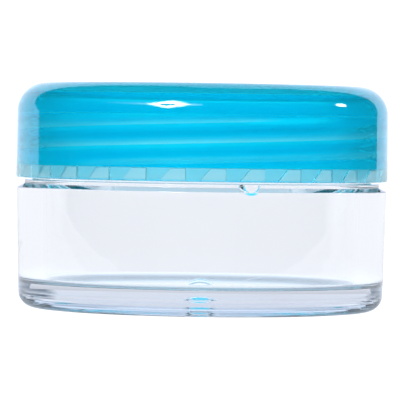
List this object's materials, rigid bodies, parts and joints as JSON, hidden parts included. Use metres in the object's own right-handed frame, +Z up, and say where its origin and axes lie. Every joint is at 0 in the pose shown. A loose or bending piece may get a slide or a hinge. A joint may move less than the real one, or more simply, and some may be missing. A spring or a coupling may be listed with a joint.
{
  "type": "screw-lid sample jar",
  "caption": "Small round clear plastic sample jar, closed by a translucent blue screw lid with a clear sealing disc under it.",
  "frame": {"origin": "on the jar's axis, in the plane that the jar stands on", "axes": "+Z up along the jar's axis, +Y away from the viewer of the side with the half-round lug, +X to the right"},
  "size_m": [0.029, 0.029, 0.0176],
  "materials": {
    "jar_clear": "clear moulded polystyrene, polished, with fine handling scratches",
    "lid_blue": "translucent cyan-blue moulded polystyrene, glossy, with fine handling scratches",
    "disc_clear": "clear stamped polyethylene sheet, slightly hazy"
  },
  "bodies": {
    "jar": {"jar": "jar_clear"},
    "sealing_disc": {"sealing_disc": "disc_clear"},
    "lid": {"lid": "lid_blue"}
  },
  "joints": [
    {"name": "lid_lift", "type": "slide", "parent": "jar", "child": "sealing_disc", "axis": [0, 0, 1], "range_m": [0, 0.012]},
    {"name": "lid_turn", "type": "hinge", "parent": "sealing_disc", "child": "lid", "pos_m": [0, 0, 0.0135], "axis": [0, 0, 1], "range_deg": [0, 1440]}
  ],
  "couplings": [
    {"joint": "lid_lift", "follows": "lid_turn", "m_per_rad": 0.00047746}
  ]
}
